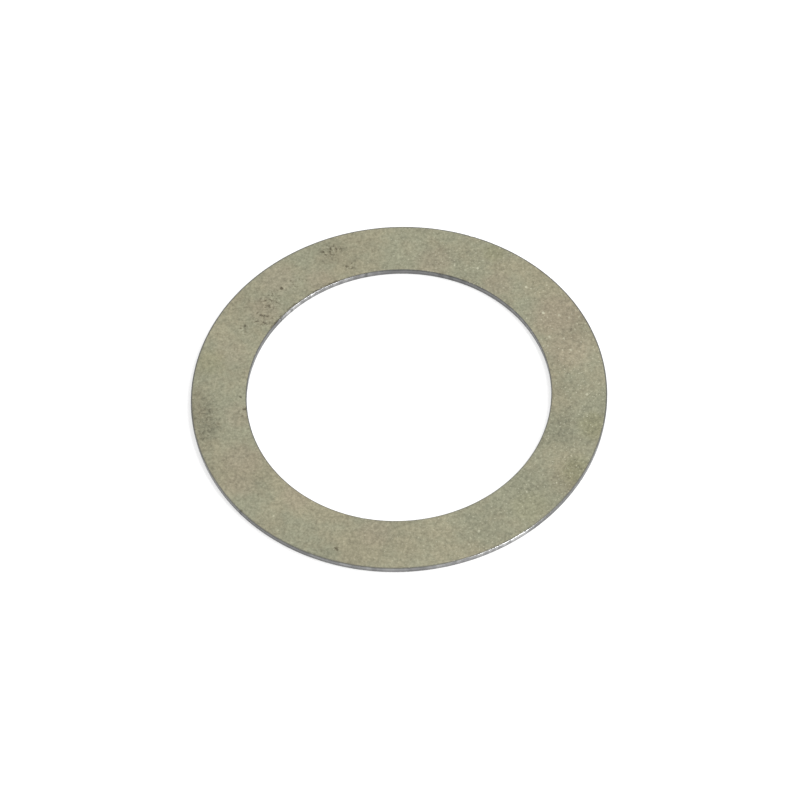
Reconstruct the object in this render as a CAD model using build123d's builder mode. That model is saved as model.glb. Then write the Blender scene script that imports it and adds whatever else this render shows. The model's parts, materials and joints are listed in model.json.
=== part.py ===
from build123d import *
from math import radians, tan
import os

# Shim ring: a flat spacer blanked and pierced in one stroke from cold-rolled
# steel strip, then tumbled. It fills a gap on a shaft of 18 mm, in a housing of
# 25 mm, and both edges are sheared from the same side.
#
# Frame: millimetres, +Z along the ring's axis, origin at the centre of the
# underside. The underside is the side that the tools broke through, so it is the
# sharper one, and the top face is the side with the rolled-over corners.

# Driving dimensions
outside_diameter = 24.83  # 25 mm, at the middle of its limits
bore_diameter = 18.14  # 18 mm, at the middle of its limits
thickness = 0.40

# Sheared edge, the same at the rim and at the bore, from the top face down:
# a rolled-over corner, a burnished land, a leaning fracture and a tumbled toe.
roll_width = 0.090  # how far the corner is drawn in across the face
roll_depth = 0.055  # how far down the edge it reaches
land_height = 0.140  # smooth wall that the tools left upright
fracture_angle = 5.0  # degrees by which the torn wall leans back into the metal
toe_radius = 0.018  # what tumbling left of the burr

# Places on the section, worked out from the sizes above
outer_radius = outside_diameter / 2
inner_radius = bore_diameter / 2
middle_radius = (outer_radius + inner_radius) / 2
land_top = thickness - roll_depth
land_foot = land_top - land_height
fracture_setback = land_foot * tan(radians(fracture_angle))
toe_corner = outer_radius - fracture_setback
roll_start = outer_radius - roll_width


def across(radius):
    """The radius at the bore that answers to a radius at the rim."""
    return 2 * middle_radius - radius


with BuildPart() as shim_ring:
    with BuildSketch(Plane.XZ) as section:
        with BuildLine():
            EllipticalCenterArc((roll_start, land_top), roll_width, roll_depth, arc_size=90)
            Line((outer_radius, land_top), (outer_radius, land_foot))
            Line((outer_radius, land_foot), (toe_corner, 0))
            mirror(about=Plane.YZ.offset(middle_radius))
            Line((across(roll_start), thickness), (roll_start, thickness))
            Line((across(toe_corner), 0), (toe_corner, 0))
        make_face()
        fillet(section.vertices().group_by(Axis.Y)[0], toe_radius)
    revolve(axis=Axis.Z)

shim_ring.part.label = "shim_ring"

os.makedirs("parts", exist_ok=True)
export_step(shim_ring.part, "parts/shim_ring.step")
print("shim_ring", round(shim_ring.part.volume, 3), "mm3", shim_ring.part.bounding_box().size)
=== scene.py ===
"""Shim ring: the looks of a thin spacer ring blanked from cold-rolled steel, lying on a white table."""

import json
import math

import bmesh
import bpy
from mathutils import Matrix, Vector, noise


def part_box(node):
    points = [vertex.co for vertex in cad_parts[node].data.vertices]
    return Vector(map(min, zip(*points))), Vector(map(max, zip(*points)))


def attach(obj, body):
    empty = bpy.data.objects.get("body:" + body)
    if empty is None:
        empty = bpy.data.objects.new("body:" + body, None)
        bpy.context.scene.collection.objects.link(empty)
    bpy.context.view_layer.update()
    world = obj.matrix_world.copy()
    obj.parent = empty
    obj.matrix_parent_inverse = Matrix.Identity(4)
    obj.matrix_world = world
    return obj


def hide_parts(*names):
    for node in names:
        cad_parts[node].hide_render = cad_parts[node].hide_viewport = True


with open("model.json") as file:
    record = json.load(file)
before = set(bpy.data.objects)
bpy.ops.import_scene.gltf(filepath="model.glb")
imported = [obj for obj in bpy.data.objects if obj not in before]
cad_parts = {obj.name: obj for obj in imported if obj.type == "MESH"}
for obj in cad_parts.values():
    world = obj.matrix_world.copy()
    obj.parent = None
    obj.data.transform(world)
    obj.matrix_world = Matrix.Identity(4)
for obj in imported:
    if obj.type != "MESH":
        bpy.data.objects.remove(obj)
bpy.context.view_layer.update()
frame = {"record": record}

MM = 0.001
WHITE = (1, 1, 1, 1)

# The ring, from the frame
ring_low, ring_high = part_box("shim_ring")
outer_radius = min(-ring_low.x, ring_high.x)
inner_radius = frame["record"]["mounts"][0]["dims"]["r_mm"] * MM
middle_radius = (outer_radius + inner_radius) / 2
top = ring_high.z
underside = ring_low.z

# The sheared edge, as the ring was made: rolled corner, burnished land, fracture, tumbled toe
roll_width = 0.090 * MM
roll_depth = 0.055 * MM
land_height = 0.140 * MM
fracture_lean = math.tan(math.radians(5))
toe_radius = 0.018 * MM
land_top = top - roll_depth
land_foot = land_top - land_height
toe_setback = (land_foot - underside) * fracture_lean

# Mesh
TURNS = 960  # faces round the ring
FACE_CUTS = 17  # cuts across the top face
ROLL_STEPS = 6
LAND_CUTS = 2
FRACTURE_CUTS = 3

# The faces' dull film runs on over the corners while the surface's slope keeps more than this upright
FILM_REACH = 0.87

# Material slots on the ring
FACE, SHEARED, TORN = range(3)

# The toe's curve is cut at this share of its radius
TOE_CUT = 0.3
# Two points nearer than this are one
SAME_POINT = 1e-8
# Room for rounding when a width is compared
SLACK = 1.01

# Patterns use millimetres. On the faces height counts this many times, so that the underside has its own
FACE_STRETCH = 10
FACE_SCALE = (1 / MM, 1 / MM, FACE_STRETCH / MM)
FACE_LEVEL = top / MM * FACE_STRETCH
# On the edges height does not count for marks, so that they run from top to bottom
EDGE_SCALE = (1 / MM, 1 / MM, 0)
EDGE_LEVEL = 0


# ---------------------------------------------------------------- shader maths


class Value:
    """A socket that varies over a surface. Arithmetic on it adds the Math nodes it needs."""

    def __init__(self, nodes, socket):
        self.nodes = nodes
        self.socket = socket

    def math(self, operation, *others):
        sockets = dict(enumerate((self, *others)))
        return self.nodes.add("ShaderNodeMath", {"operation": operation}, sockets)

    def __add__(self, other):
        return self.math("ADD", other)

    def __sub__(self, other):
        return self.math("SUBTRACT", other)

    def __mul__(self, other):
        return self.math("MULTIPLY", other)

    def __radd__(self, other):
        return self + other

    def __rsub__(self, other):
        return self * -1 + other

    def either(self, other):
        """The larger of two masks."""
        return self.math("MAXIMUM", other)

    def ramp(self, low, high):
        """0 below low, 1 above high and smooth between; the other way round if low is above high."""
        ends = {0: self, 1: low, 2: high, 3: 0.0, 4: 1.0}
        if low > high:
            ends = {0: self, 1: high, 2: low, 3: 1.0, 4: 0.0}
        return self.nodes.add("ShaderNodeMapRange", {"interpolation_type": "SMOOTHSTEP"}, ends)


class Nodes:
    """The nodes of a material or of the room, with one method that adds any of them."""

    def __init__(self, owner):
        owner.use_nodes = True
        self.tree = owner.node_tree
        self.tree.nodes.clear()

    def add(self, kind, settings=None, sockets=None, out=0):
        node = self.tree.nodes.new(kind)
        for key, value in (settings or {}).items():
            setattr(node, key, value)
        for key, value in (sockets or {}).items():
            if isinstance(value, Value):
                self.tree.links.new(value.socket, node.inputs[key])
            else:
                node.inputs[key].default_value = value
        return Value(self, node.outputs[out]) if node.outputs else None

    def place(self, scale=(1 / MM,) * 3, shift=(0, 0, 0)):
        """Object coordinates, in millimetres unless scaled otherwise."""
        coords = self.add("ShaderNodeTexCoord", out="Object")
        sockets = {"Vector": coords, "Scale": scale, "Location": shift}
        return self.add("ShaderNodeMapping", {"vector_type": "POINT"}, sockets)

    def axes(self, place, letters):
        """The named coordinates of a place, each a value of its own."""
        return [self.add("ShaderNodeSeparateXYZ", {}, {0: place}, letter) for letter in letters]

    def noise(self, place, size, detail=2.0, roughness=0.5, out="Fac"):
        """Cloudy noise whose lumps are about size across, in the units of place."""
        sockets = {"Vector": place, "Scale": 1 / size, "Detail": detail, "Roughness": roughness}
        return self.add("ShaderNodeTexNoise", {"noise_dimensions": "3D"}, sockets, out)

    def blend(self, factor, under, over, kind="MIX"):
        """Colours: under where factor is 0, over where it is 1."""
        settings = {"data_type": "RGBA", "blend_type": kind}
        return self.add("ShaderNodeMix", settings, {0: factor, 6: under, 7: over}, out=2)

    def grey(self, level):
        """The colour whose three parts are all level."""
        return self.add("ShaderNodeCombineColor", {"mode": "RGB"}, {0: level, 1: level, 2: level})

    def shake(self, place, size, reach):
        """Coordinates moved about by noise, by up to reach, so that round marks come out ragged."""
        cloud = self.noise(place, size, out="Color")
        moved = {0: cloud, 1: (2 * reach,) * 3, 2: place}
        moved = self.add("ShaderNodeVectorMath", {"operation": "MULTIPLY_ADD"}, moved)
        return self.add("ShaderNodeVectorMath", {"operation": "SUBTRACT"}, {0: moved, 1: (reach,) * 3})

    def spot(self, place, centre, radius):
        """1 round a centre out to a third of a radius, down to 0 at the radius."""
        ends = {0: place, 1: centre}
        distance = self.add("ShaderNodeVectorMath", {"operation": "DISTANCE"}, ends, "Value")
        return distance.ramp(radius, radius * 0.35)

    def gather(self, place, marks, level):
        """One mask for a table of marks that lie at a level."""
        total = None
        for azimuth, distance, radius, strength in marks:
            angle = math.radians(azimuth)
            centre = (distance * math.cos(angle), distance * math.sin(angle), level)
            mask = self.spot(place, centre, radius) * strength
            total = total.either(mask) if total else mask
        return total

    def bump(self, height, distance, strength):
        return self.add("ShaderNodeBump", {}, {"Height": height, "Distance": distance, "Strength": strength})


def steel(name, paint):
    """A material whose steel takes the sockets that paint returns for its nodes."""
    material = bpy.data.materials.new(name)
    nodes = Nodes(material)
    shader = nodes.add("ShaderNodeBsdfPrincipled", {}, paint(nodes))
    nodes.add("ShaderNodeOutputMaterial", {}, {"Surface": shader})
    return material


# ---------------------------------------------------------------- marks

# Every mark: azimuth in degrees, distance from the axis and radius in millimetres, and strength.
# Azimuth 90 is at the back of the ring, 180 at its left.

PITS = (
    # back left, near the rim
    (111.0, 11.55, 0.14, 0.9), (109.0, 11.40, 0.12, 0.8), (105.5, 11.35, 0.12, 0.7),
    (109.0, 11.15, 0.10, 0.6),
    # back left, half way to the bore
    (129.5, 10.60, 0.16, 1.0), (131.0, 10.70, 0.09, 0.6), (137.5, 10.25, 0.16, 1.0),
    (138.5, 10.35, 0.11, 0.8),
    (142.0, 10.15, 0.14, 0.9), (144.0, 9.75, 0.12, 0.9), (142.5, 9.90, 0.10, 0.7), (121.0, 10.15, 0.10, 0.6),
    (148.5, 10.60, 0.13, 0.9), (150.0, 10.75, 0.10, 0.7),
    # back, near the bore
    (106.0, 9.95, 0.12, 0.9), (104.5, 9.70, 0.10, 0.7),
    # left
    (178.0, 9.45, 0.12, 0.8), (186.5, 9.40, 0.10, 0.7), (188.0, 10.90, 0.11, 0.6), (171.0, 9.60, 0.09, 0.6),
    # front
    (249.0, 11.50, 0.17, 1.0),
    # right
    (60.0, 11.90, 0.10, 0.5), (325.0, 11.80, 0.13, 0.6), (344.0, 9.50, 0.09, 0.5),
)

# Patches where small pits crowd
PITTED_PATCHES = (
    (109.0, 11.40, 0.80, 1.0), (135.0, 10.35, 1.00, 0.9), (143.0, 9.95, 0.90, 1.0), (104.5, 9.95, 0.50, 0.8),
    (125.0, 10.30, 0.80, 0.6), (150.0, 10.55, 0.60, 0.7), (184.0, 11.55, 1.00, 0.6),
    (190.0, 12.00, 0.80, 0.6),
    (184.0, 9.60, 0.70, 0.4), (20.0, 11.40, 1.00, 0.3), (330.0, 11.60, 1.10, 0.4),
)

# Painted shade: stretches where a dark line runs on the face beside the bore, next to its painted highlights
PAINTED_LIP_SHADES = (
    (113.0, 9.20, 0.90, 1.0), (121.0, 9.20, 0.80, 0.9), (131.0, 9.20, 0.90, 1.0), (141.0, 9.20, 1.00, 1.0),
)

# Dirt in the nicks of the edges
EDGE_DIRT = (
    (183.0, 9.10, 0.12, 1.0), (183.5, 9.20, 0.12, 1.0), (183.5, 9.30, 0.10, 0.9),
    (219.0, 12.35, 0.14, 0.6), (100.0, 9.10, 0.12, 0.6),
    (71.0, 9.05, 0.25, 0.4), (67.0, 9.05, 0.20, 0.4), (62.0, 9.05, 0.25, 0.3),
    (139.0, 9.05, 0.10, 0.7), (133.0, 9.05, 0.12, 0.5),
)

# Painted highlights: stretches of the edges whose steel is painted lighter, standing for glints of the key
# lamp and reflections of the white table
PAINTED_EDGE_HIGHLIGHTS = (
    (300.0, 12.40, 1.7, 1.00), (292.0, 12.40, 2.2, 0.90), (283.0, 12.40, 2.4, 0.70),
    (258.0, 12.40, 4.4, 0.35),
    (132.0, 9.05, 1.5, 1.00), (121.0, 9.05, 1.5, 0.85), (111.0, 9.05, 1.5, 0.70), (100.0, 9.05, 1.4, 0.35),
)

# Small bright specks
SPECKS = (
    (67.5, 9.95, 0.10, 0.8), (59.5, 10.30, 0.11, 0.9), (42.0, 10.85, 0.11, 1.0), (40.5, 10.95, 0.09, 0.7),
    (30.5, 10.40, 0.13, 1.0), (20.5, 9.85, 0.12, 0.9), (18.0, 10.60, 0.11, 0.8), (13.0, 10.70, 0.11, 0.9),
    (23.5, 12.10, 0.10, 0.6), (27.0, 11.10, 0.10, 0.7), (24.5, 11.55, 0.09, 0.6), (355.5, 11.20, 0.13, 1.0),
    (359.0, 10.70, 0.10, 0.6), (331.0, 10.90, 0.09, 0.6), (313.5, 10.40, 0.10, 0.8),
    (292.5, 10.95, 0.12, 0.9),
    (288.0, 11.55, 0.09, 0.6), (227.0, 11.30, 0.09, 0.6), (231.0, 11.90, 0.09, 0.5),
)

# Stains, by their tint
GREY_STAINS = (
    (181.0, 12.40, 1.9, 1.2), (190.0, 11.90, 1.5, 0.8), (172.0, 12.30, 1.2, 0.5), (325.0, 11.90, 2.0, 0.6),
    (340.0, 9.60, 1.8, 0.5), (136.0, 10.30, 1.7, 0.3), (109.0, 11.30, 1.2, 0.5), (104.0, 9.90, 0.8, 0.5),
    (20.0, 11.80, 1.8, 0.4), (316.0, 10.00, 1.6, 0.3), (200.0, 10.00, 1.2, 0.3),
)
TAN_STAINS = (
    (27.0, 11.00, 2.2, 0.9), (14.0, 10.60, 2.0, 0.7), (74.5, 9.95, 1.5, 0.6), (50.0, 9.90, 1.3, 0.6),
    (204.0, 10.30, 1.6, 0.7), (211.5, 11.30, 1.3, 0.6), (228.0, 9.45, 1.2, 0.6), (259.5, 9.90, 1.4, 0.6),
    (128.0, 11.30, 1.6, 0.6), (117.0, 9.75, 1.2, 0.6), (160.0, 10.60, 1.4, 0.4), (186.0, 9.60, 1.3, 0.5),
    (140.0, 10.20, 1.4, 0.6),
)
OLIVE_STAINS = (
    (344.5, 11.85, 1.3, 0.8), (328.5, 12.05, 1.4, 0.8), (58.0, 11.80, 0.9, 0.6), (165.0, 11.60, 1.3, 0.5),
    (310.0, 11.30, 1.6, 0.4),
)


# ---------------------------------------------------------------- finishes


def rolled_face(f):
    """Dull face of cold-rolled strip: warm grey, mottled, finely grained, pitted and speckled, with thin
    lines of painted shade along the rim and the bore.
    """
    khaki = (0.400, 0.372, 0.260, 1)
    sage = (0.372, 0.370, 0.265, 1)
    sand = (0.416, 0.364, 0.266, 1)
    olive = (0.358, 0.348, 0.216, 1)
    pit_and_shade_brown = (0.115, 0.098, 0.064, 1)
    painted_edge_shade_grey = (0.118, 0.120, 0.126, 1)
    salt_white = (0.740, 0.730, 0.550, 1)

    flat = f.place(FACE_SCALE)
    ragged = f.shake(flat, 0.45, 0.25)
    broad = f.noise(flat, 3.4)
    clouds = f.noise(flat, 0.75, detail=3, roughness=0.6)
    flecks = f.noise(flat, 0.27, roughness=0.6)
    grain = f.noise(flat, 0.135, detail=3, roughness=0.72)
    crumbs = f.noise(flat, 0.19, detail=3, roughness=0.6)
    salt = f.noise(flat, 0.125, detail=1)
    tint = f.noise(f.place(FACE_SCALE, shift=(31, 17, 5)), 3.6, detail=5, roughness=0.62)
    x, y = f.axes(flat, "XY")
    from_axis = (x * x + y * y).math("SQRT")

    # Film and stains
    colour = f.blend(tint.ramp(0.38, 0.62), khaki, sage)
    colour = f.blend(f.gather(ragged, TAN_STAINS, FACE_LEVEL) * 0.8, colour, sand)
    colour = f.blend(f.gather(ragged, OLIVE_STAINS, FACE_LEVEL) * 0.8, colour, olive)
    stained = f.gather(ragged, GREY_STAINS, FACE_LEVEL) * (0.5 + clouds)
    coarse_mottle = (broad - 0.5) * 0.38 + (clouds - 0.5) * 0.15
    mottle = coarse_mottle + (flecks - 0.5) * 0.60 + (grain - 0.5) * 0.84
    colour = f.blend(1.0, colour, f.grey(0.98 + mottle - stained * 0.18), "MULTIPLY")

    # Thin grey lines of painted shade along the rim and the bore, fuller at the back
    ends = from_axis.ramp(outer_radius / MM - 0.12, outer_radius / MM - 0.05)
    ends = ends.either(from_axis.ramp(inner_radius / MM + 0.10, inner_radius / MM + 0.04))
    colour = f.blend(ends * (0.34 + flecks * 0.52 + y.ramp(-8, 8) * 0.30), colour, painted_edge_shade_grey)

    # Pits, dirt from the nicks, and a line of painted shade beside the bore
    patches = f.gather(ragged, PITTED_PATCHES, FACE_LEVEL)
    pits = f.gather(f.shake(flat, 0.16, 0.14), PITS, FACE_LEVEL)
    pits = pits.either(patches * crumbs.ramp(0.45, 0.38) * 0.85)
    pits = pits.either(f.gather(f.place(EDGE_SCALE), EDGE_DIRT, EDGE_LEVEL))
    # Painted shade: a dark line on the face beside the bore's painted highlights, blended in with the pits
    painted_lip_shade = from_axis.ramp(inner_radius / MM + 0.20, inner_radius / MM + 0.12)
    pits = pits.either(painted_lip_shade * f.gather(flat, PAINTED_LIP_SHADES, FACE_LEVEL) * crumbs.ramp(0.42, 0.56) * 0.8)
    colour = f.blend(pits * 0.72, colour, pit_and_shade_brown)

    # Bright specks, more of them towards the right
    specks = f.gather(f.shake(flat, 0.12, 0.10), SPECKS, FACE_LEVEL)
    specks = specks.either(salt.ramp(0.63, 0.76) * (0.30 + x.ramp(-9, 12) * 0.70))
    specks = specks.either(patches * crumbs.ramp(0.56, 0.66) * 0.55)
    colour = f.blend(specks * 0.64, colour, salt_white)

    height = (grain - 0.5) * 0.8 + clouds * 0.4 - pits * 2.2 + specks * 0.6
    return {
        "Base Color": colour,
        "Metallic": 0.9,
        "Roughness": 0.47 + (clouds - 0.5) * 0.16 + pits * 0.2 - specks * 0.12,
        "Normal": f.bump(height, 0.006 * MM, 0.55),
    }


STREAK_STRETCH = 0.25  # height counts this much in the edges' patterns


def along_the_edge(f):
    """Coordinates that follow the edge, with height drawn out so that streaks stand upright."""
    x, y, z = f.axes(f.place(), "XYZ")
    along = y.math("ARCTAN2", x) * (outer_radius / MM)
    from_axis = (x * x + y * y).math("SQRT")
    return f.add("ShaderNodeCombineXYZ", {}, {0: along, 1: z * STREAK_STRETCH, 2: from_axis})


def edge_state(f, edge):
    """Runs that break up the edge and its painted highlights, the painted highlight of each listed stretch,
    and how clean it is.
    """
    place = f.place(EDGE_SCALE)
    runs = f.noise(edge, 0.42).ramp(0.36, 0.66)
    # Painted highlight: the listed stretches of the edges are made lighter
    bright = f.gather(place, PAINTED_EDGE_HIGHLIGHTS, EDGE_LEVEL)
    clean = 1 - f.gather(place, EDGE_DIRT, EDGE_LEVEL) * 0.60
    return runs, bright, clean


def sheared_edge(f):
    """Steel that the tools wiped: a smooth rolled corner, and under it a land with fine upright streaks.
    Listed stretches carry painted highlights.
    """
    edge = along_the_edge(f)
    runs, bright, clean = edge_state(f, edge)
    streaks = f.noise(edge, 0.05, detail=3, roughness=0.6)
    lengths = f.noise(edge, 0.9, detail=3)
    [height] = f.axes(f.place(), "Z")
    corner = height.ramp(land_top / MM - 0.01, land_top / MM + 0.03)
    # Painted highlight: the corner and the land are lighter in the listed stretches, in broken runs
    shade = 0.12 + streaks * 0.07 + lengths * 0.05 + corner * (0.06 + runs * 0.12 + bright * 0.16)
    shade = (shade + bright * (0.10 + runs * 0.22)) * clean
    return {
        "Base Color": f.grey(shade),
        "Metallic": 1.0,
        "Roughness": 0.32 + streaks * 0.10 - runs * 0.08,
        "Normal": f.bump(streaks + lengths * 2, 0.004 * MM, 0.6),
    }


def torn_wall(f):
    """The fracture below the land: dull, dark and granular, with painted highlights in the listed stretches.
    """
    edge = along_the_edge(f)
    runs, bright, clean = edge_state(f, edge)
    grain = f.noise(edge, 0.045, detail=4, roughness=0.7)
    lengths = f.noise(edge, 1.1)
    shade = 0.11 + grain * 0.13 + lengths * 0.05
    # Painted highlight: the wall is lighter in the listed stretches, in broken runs
    shade = (shade + bright * (0.08 + runs * 0.14)) * clean
    return {
        "Base Color": f.grey(shade),
        "Metallic": 0.9,
        "Roughness": 0.5 + grain * 0.2,
        "Normal": f.bump(grain, 0.01 * MM, 0.8),
    }


# ---------------------------------------------------------------- the ring's mesh


def edge_section(bm, side_radius, outward):
    """Vertices of one sheared edge, from the top face down. outward is 1 at the rim, -1 at the bore."""
    points = []
    for step in range(ROLL_STEPS + 1):
        angle = math.pi / 2 * (1 - step / ROLL_STEPS)
        points.append((roll_width * (1 - math.cos(angle)), land_top + roll_depth * math.sin(angle)))
    points.append((0, land_foot))
    points.append((toe_setback - toe_radius * fracture_lean, underside + toe_radius))
    points.append((toe_setback + toe_radius * TOE_CUT, underside + toe_radius * TOE_CUT))
    points.append((toe_setback + toe_radius, underside))
    return [bm.verts.new((side_radius - outward * back, 0, z)) for back, z in points]


def ring_section(bm):
    """The closed section of the ring, with the cuts that its faces and walls need."""
    rim = edge_section(bm, outer_radius, 1)
    bore = edge_section(bm, inner_radius, -1)
    for chain in (rim, bore):
        for upper, lower in zip(chain, chain[1:]):
            bm.edges.new((upper, lower))
    across_top = bm.edges.new((rim[0], bore[0]))
    bm.edges.new((rim[-1], bore[-1]))
    lands = [bm.edges.get(chain[ROLL_STEPS:ROLL_STEPS + 2]) for chain in (rim, bore)]
    fractures = [bm.edges.get(chain[ROLL_STEPS + 1:ROLL_STEPS + 3]) for chain in (rim, bore)]
    bmesh.ops.subdivide_edges(bm, edges=[across_top], cuts=FACE_CUTS)
    bmesh.ops.subdivide_edges(bm, edges=lands, cuts=LAND_CUTS)
    bmesh.ops.subdivide_edges(bm, edges=fractures, cuts=FRACTURE_CUTS)


# Nicks and dents in the edges: azimuth, which edge, half width along it and depth, in millimetres
NICKS = (
    (183.0, inner_radius, 0.10, 0.018), (219.0, outer_radius, 0.12, 0.025),
    (100.0, inner_radius, 0.10, 0.015),
    (66.5, outer_radius, 0.14, 0.020), (140.0, inner_radius, 0.09, 0.020), (133.5, inner_radius, 0.16, 0.020),
    (30.0, inner_radius, 0.12, 0.015), (254.0, inner_radius, 0.12, 0.015), (302.0, outer_radius, 0.12, 0.015),
)
TORN_DEPTH = 0.012 * MM  # the fracture's lumps
TORN_LUMPS = 9  # to a millimetre of edge
TORN_LUMPS_UP = 12  # to a millimetre of height
ROLL_WAVER = 0.010 * MM  # how much lower the rolled corner sits in places
ROLL_WAVES = 1.7


def wear(bm):
    """Tumbled wear: a wavering rolled corner, a torn lower wall, and nicks. All of it goes into the metal."""
    for vert in bm.verts:
        radius = math.hypot(vert.co.x, vert.co.y)
        into = -1 if radius > middle_radius else 1
        side = outer_radius if radius > middle_radius else inner_radius
        back = abs(side - radius)
        if back > roll_width * SLACK:
            continue
        angle = math.atan2(vert.co.y, vert.co.x)
        outward = Vector((math.cos(angle), math.sin(angle), 0))
        spot = outward * (side / MM) + Vector((0, 0, into))
        near_top = max(0.0, (vert.co.z - land_foot) / (top - land_foot))
        drop = near_top * ROLL_WAVER * (0.5 + 0.5 * noise.noise(spot * ROLL_WAVES))
        move = 0.0
        if vert.co.z < land_foot:
            height = Vector((0, 0, vert.co.z / MM * TORN_LUMPS_UP))
            move = TORN_DEPTH * abs(noise.noise(spot * TORN_LUMPS + height))
        for azimuth, edge, half_width, depth in NICKS:
            away = (math.degrees(angle) - azimuth + 180) % 360 - 180
            share = abs(math.radians(away)) * side / MM / half_width
            if edge == side and share < 1:
                bite = (1 - share * share) ** 2 * depth * MM * near_top
                move += bite
                drop += bite * 0.5
        vert.co += outward * (into * move)
        vert.co.z = max(underside, vert.co.z - drop)


def make_ring():
    """The ring, spun round its axis from its section."""
    bm = bmesh.new()
    ring_section(bm)
    bmesh.ops.spin(bm, geom=bm.verts[:] + bm.edges[:], cent=(0, 0, 0), axis=(0, 0, 1), dvec=(0, 0, 0),
                   angle=math.tau, steps=TURNS, use_merge=True)
    bmesh.ops.remove_doubles(bm, verts=bm.verts, dist=SAME_POINT)
    bmesh.ops.recalc_face_normals(bm, faces=bm.faces)
    for face in bm.faces:
        high = face.calc_center_median().z > land_foot
        level = abs(face.normal.z) > FILM_REACH
        face.material_index = FACE if level else SHEARED if high else TORN
        face.smooth = True
    wear(bm)
    mesh = bpy.data.meshes.new("ring_of_steel")
    bm.to_mesh(mesh)
    bm.free()
    for paint in (rolled_face, sheared_edge, torn_wall):
        mesh.materials.append(steel(paint.__name__, paint))
    ring = bpy.data.objects.new("ring_of_steel", mesh)
    bpy.context.scene.collection.objects.link(ring)
    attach(ring, "root")
    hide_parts("shim_ring")


# ---------------------------------------------------------------- table, light and camera


PLAIN_WHITE = 0.42  # share of the table that shows as plain white, without shadow


def table_white():
    """White paint. Seen directly or in the steel it is partly plain white, with the ring's shadow left in."""
    material = bpy.data.materials.new("table_white")
    f = Nodes(material)
    paint = f.add("ShaderNodeBsdfDiffuse", {}, {"Color": (0.9, 0.9, 0.9, 1)})
    glow = f.add("ShaderNodeEmission", {}, {"Color": WHITE, "Strength": 1.4})
    by_camera, by_steel = (f.add("ShaderNodeLightPath", out=f"Is {ray} Ray") for ray in ("Camera", "Glossy"))
    mixed = f.add("ShaderNodeMixShader", {}, {0: by_camera.either(by_steel) * PLAIN_WHITE, 1: paint, 2: glow})
    f.add("ShaderNodeOutputMaterial", {}, {"Surface": mixed})
    return material


def make_table():
    bm = bmesh.new()
    bmesh.ops.create_grid(bm, x_segments=1, y_segments=1, size=1.0)
    bmesh.ops.translate(bm, verts=bm.verts, vec=(0, 0, underside - 0.01 * MM))
    mesh = bpy.data.meshes.new("table")
    bm.to_mesh(mesh)
    bm.free()
    mesh.materials.append(table_white())
    table = bpy.data.objects.new("table", mesh)
    bpy.context.scene.collection.objects.link(table)


def towards(azimuth, elevation):
    """A direction from the ring, by azimuth from +X and height above the table, in degrees."""
    across, up = math.radians(azimuth), math.radians(elevation)
    return Vector((math.cos(across) * math.cos(up), math.sin(across) * math.cos(up), math.sin(up)))


LAMP_DISTANCE = 0.35


def soft_box(name, azimuth, elevation, size, power):
    """A square lamp that faces the ring from the lamps' distance."""
    light = bpy.data.lights.new(name, "AREA")
    light.shape = "SQUARE"
    light.size = size
    light.energy = power
    holder = bpy.data.objects.new(name, light)
    direction = towards(azimuth, elevation)
    holder.location = direction * LAMP_DISTANCE
    holder.rotation_mode = "QUATERNION"
    holder.rotation_quaternion = direction.to_track_quat("Z", "Y")
    bpy.context.scene.collection.objects.link(holder)
    return holder


def light_the_room():
    """A pale room, darker low down and in front, a key at the front right and a soft fill at the right."""
    world = bpy.data.worlds.new("room")
    bpy.context.scene.world = world
    room = Nodes(world)
    facing = room.add("ShaderNodeTexCoord", out="Generated")
    back, up = room.axes(facing, "YZ")
    level = (0.48 + up.ramp(-0.1, 1.0) * 0.55) * (0.40 + back.ramp(-0.8, 0.3) * 0.60)
    walls = room.add("ShaderNodeBackground", {}, {"Color": WHITE, "Strength": level})
    backdrop = room.add("ShaderNodeBackground", {}, {"Color": WHITE, "Strength": 1.0})
    by_camera = room.add("ShaderNodeLightPath", out="Is Camera Ray")
    mixed = room.add("ShaderNodeMixShader", {}, {0: by_camera, 1: walls, 2: backdrop})
    room.add("ShaderNodeOutputWorld", {}, {"Surface": mixed})
    soft_box("key_box", azimuth=318, elevation=36, size=0.09, power=0.38)
    fill_box = soft_box("fill_box", azimuth=2, elevation=52, size=0.22, power=0.8)
    fill_box.visible_glossy = False


def place_camera():
    """Looks down at the ring from the front, with the camera a little rolled and the ring just off centre."""
    elevation = 55.23
    roll = math.radians(3.21)
    distance = 20 * outer_radius
    aim_right = 0.05 * MM
    aim_up = -0.21 * MM
    camera = bpy.data.cameras.new("camera")
    camera.sensor_width = 36.0
    camera.lens = 187.3
    camera.clip_start = 0.01
    camera.clip_end = 10.0
    holder = bpy.data.objects.new("camera", camera)
    back = towards(270, elevation)
    turn = back.to_track_quat("Z", "Y").to_matrix()
    right, up = turn.col[0], turn.col[1]
    holder.rotation_mode = "QUATERNION"
    holder.rotation_quaternion = (turn @ Matrix.Rotation(-roll, 3, "Z")).to_quaternion()
    holder.location = back * distance + right * (aim_right * math.cos(roll)) + up * aim_up
    bpy.context.scene.collection.objects.link(holder)
    bpy.context.scene.camera = holder


make_ring()
make_table()
light_the_room()
place_camera()
bpy.context.scene.view_settings.view_transform = "Standard"
